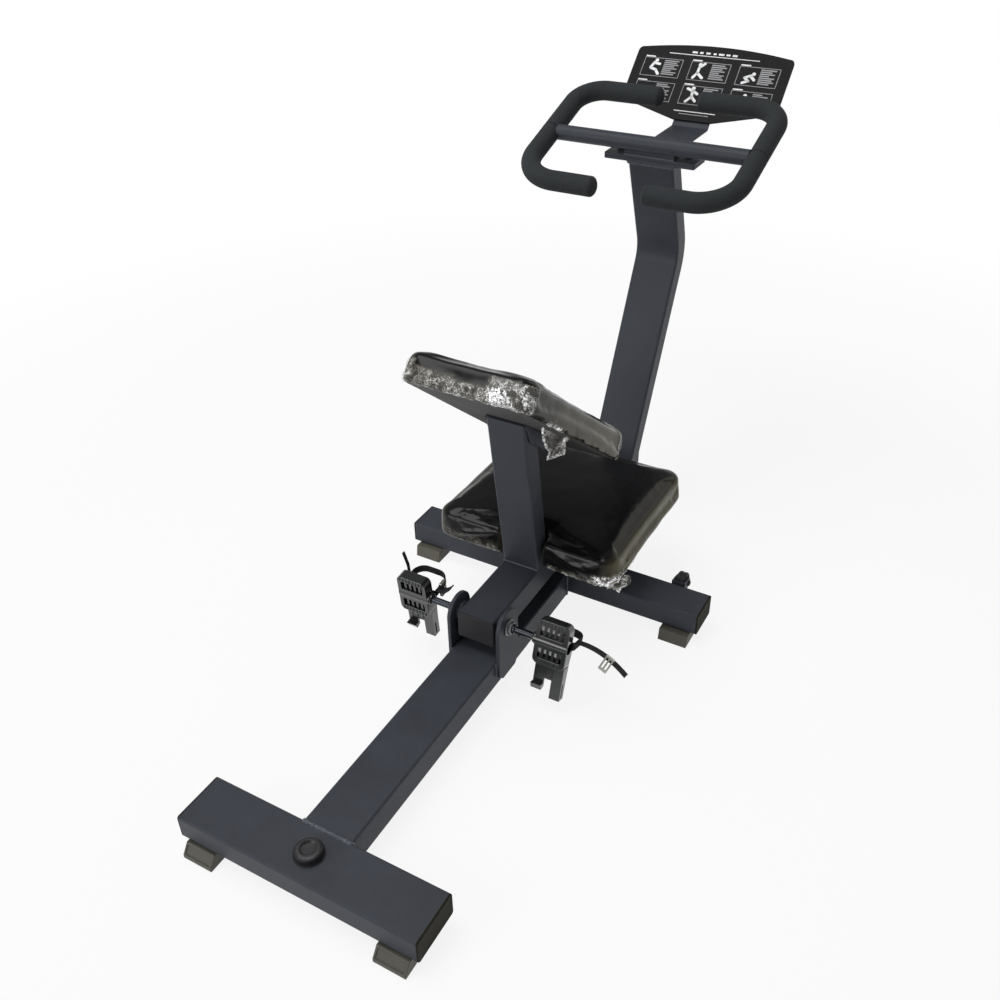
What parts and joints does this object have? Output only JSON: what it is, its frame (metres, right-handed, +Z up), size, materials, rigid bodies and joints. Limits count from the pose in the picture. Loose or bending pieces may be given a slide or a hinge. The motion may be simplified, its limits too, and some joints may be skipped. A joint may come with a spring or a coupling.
{
  "type": "leg stretching machine",
  "caption": "Floor-standing leg stretching machine with a tilting rocker frame, sloping upper pad, lower pad, strap pedals, padded handlebar loops, placard and transport wheels.",
  "frame": {"origin": "on the floor under the middle of the machine's outline", "axes": "+Z up; +Y forwards, from the short rear crossbar towards the handlebar and placard; +X to the right of a user facing the handlebar"},
  "size_m": [0.694, 1.7184, 0.9873],
  "materials": {
    "frame": "satin blue-black powder coat",
    "black_steel": "satin black oxide",
    "steel": "bright plated",
    "plastic": "satin black moulding",
    "rubber": "matt black rubber",
    "vinyl": "glossy black upholstery vinyl",
    "board": "black-painted plywood",
    "foam": "matt charcoal foam",
    "webbing": "woven black webbing",
    "placard": "printed panel, satin"
  },
  "bodies": {
    "base": {"rear_crossbar": "frame", "rear_crossbar_left_cap": "plastic", "rear_crossbar_right_cap": "plastic", "front_crossbar": "frame", "front_crossbar_left_cap": "plastic", "front_crossbar_right_cap": "plastic", "main_beam": "frame", "rear_left_foot": "rubber", "rear_right_foot": "rubber", "front_left_foot": "rubber", "front_right_foot": "rubber", "crossbar_plug": "rubber", "left_pivot_ear": "frame", "right_pivot_ear": "frame", "left_axle_nut": "black_steel", "right_axle_nut": "black_steel", "left_pedal_spindle": "steel", "right_pedal_spindle": "steel", "pivot_axle": "black_steel", "tilt_stop_bar": "black_steel", "rest_bumper": "rubber", "left_wheel_bracket": "frame", "right_wheel_bracket": "frame"},
    "rocker": {"rocker_tube": "frame", "rocker_rear_cap": "plastic", "rocker_front_cap": "plastic", "seat_post": "frame", "seat_channel": "frame", "seat_board": "board", "seat_pad": "vinyl", "shin_rear_bracket": "frame", "shin_front_bracket": "frame", "shin_board": "board", "shin_pad": "vinyl", "mast": "frame", "mast_top_plate": "frame", "handlebar_clamp_plate": "frame", "left_plate_bolt": "black_steel", "right_plate_bolt": "black_steel", "handlebar_cross_tube": "frame", "left_handlebar_loop": "frame", "right_handlebar_loop": "frame", "left_rear_grip": "foam", "left_front_grip": "foam", "right_rear_grip": "foam", "right_front_grip": "foam", "placard_stem": "frame", "placard_panel": "placard"},
    "left_pedal": {"left_pedal_body": "plastic", "left_toe_clip": "plastic", "left_pedal_strap": "webbing", "left_strap_buckle": "steel"},
    "right_pedal": {"right_pedal_body": "plastic", "right_toe_clip": "plastic", "right_pedal_strap": "webbing", "right_strap_buckle": "steel"},
    "left_wheel": {"left_transport_wheel": "rubber"},
    "right_wheel": {"right_transport_wheel": "rubber"}
  },
  "joints": [
    {"name": "rocker_tilt", "type": "hinge", "parent": "base", "child": "rocker", "pos_m": [0, -0.2332, 0.147], "axis": [1, 0, 0], "range_deg": [0, 20]},
    {"name": "left_pedal_turn", "type": "hinge", "parent": "base", "child": "left_pedal", "pos_m": [-0.155, -0.2332, 0.147], "axis": [1, 0, 0], "continuous": true},
    {"name": "right_pedal_turn", "type": "hinge", "parent": "base", "child": "right_pedal", "pos_m": [0.155, -0.2332, 0.147], "axis": [1, 0, 0], "continuous": true},
    {"name": "left_wheel_spin", "type": "hinge", "parent": "base", "child": "left_wheel", "pos_m": [-0.272, 0.1478, 0.068], "axis": [1, 0, 0], "continuous": true},
    {"name": "right_wheel_spin", "type": "hinge", "parent": "base", "child": "right_wheel", "pos_m": [0.272, 0.1478, 0.068], "axis": [1, 0, 0], "continuous": true}
  ]
}
